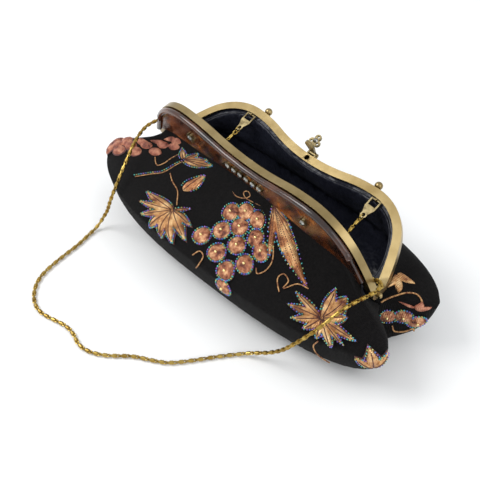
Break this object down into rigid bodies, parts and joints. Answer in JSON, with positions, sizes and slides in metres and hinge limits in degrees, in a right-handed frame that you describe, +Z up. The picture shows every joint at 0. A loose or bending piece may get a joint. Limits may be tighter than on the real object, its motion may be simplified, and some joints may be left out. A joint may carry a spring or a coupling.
{
  "type": "evening bag",
  "caption": "Soft black cloth evening bag with grape and vine-leaf embroidery on a hinged brass clasp frame with a resin plate, standing open, its gold chain laid out.",
  "frame": {"origin": "on the floor, straight under the middle of the hinge line", "axes": "+X along the hinge line to the right of the front, +Z up, the front toward -Y"},
  "size_m": [0.256, 0.1983, 0.0996],
  "materials": {
    "cloth": "matt woven",
    "satin": "satin",
    "brass": "polished",
    "chain_gold": "polished",
    "resin": "polished tortoiseshell",
    "dark_resin": "polished tortoiseshell",
    "stone": "cut glass",
    "rose_thread": "silk thread",
    "gold_thread": "silk thread",
    "copper_thread": "silk thread"
  },
  "bodies": {
    "pouch": {"front_panel": "cloth", "back_panel": "cloth", "front_lining": "satin", "back_lining": "satin", "back_frame": "brass", "hinge_rivets": "brass", "clasp_base": "brass", "clasp_pivot": "brass", "finial_left": "brass", "finial_right": "brass", "lugs": "brass", "connector_left": "brass", "connector_right": "brass", "end_rings": "chain_gold", "chain": "chain_gold", "beaded_grapes": "rose_thread", "rose_grapes": "rose_thread", "end_grapes": "rose_thread", "leaf_left": "gold_thread", "leaf_right": "gold_thread", "leaf_copper": "copper_thread", "leaf_bud": "copper_thread", "leaf_plate": "gold_thread", "leaf_corner": "gold_thread"},
    "front_half": {"front_frame": "brass", "front_plate": "resin", "plate_roll": "dark_resin", "stone_cups": "brass", "row_stones": "stone", "lobe_cups": "brass", "lobe_stones": "stone", "clasp_stud": "brass"},
    "clasp": {"clasp_lever": "brass", "clasp_stone": "stone"}
  },
  "joints": [
    {"name": "frame_hinge", "type": "hinge", "parent": "pouch", "child": "front_half", "pos_m": [0, 0, 0.048], "axis": [-1, 0, 0], "range_deg": [-18, 76.5], "deforming": ["front_panel", "front_lining", "chain", "beaded_grapes", "rose_grapes", "leaf_left", "leaf_right", "leaf_copper", "leaf_bud", "leaf_plate", "leaf_corner"]},
    {"name": "clasp_lift", "type": "hinge", "parent": "pouch", "child": "clasp", "pos_m": [0, 0.0447, 0.06693], "axis": [-1, 0, 0], "range_deg": [0, 30], "stiffness_Nm_per_rad": 0.02}
  ]
}
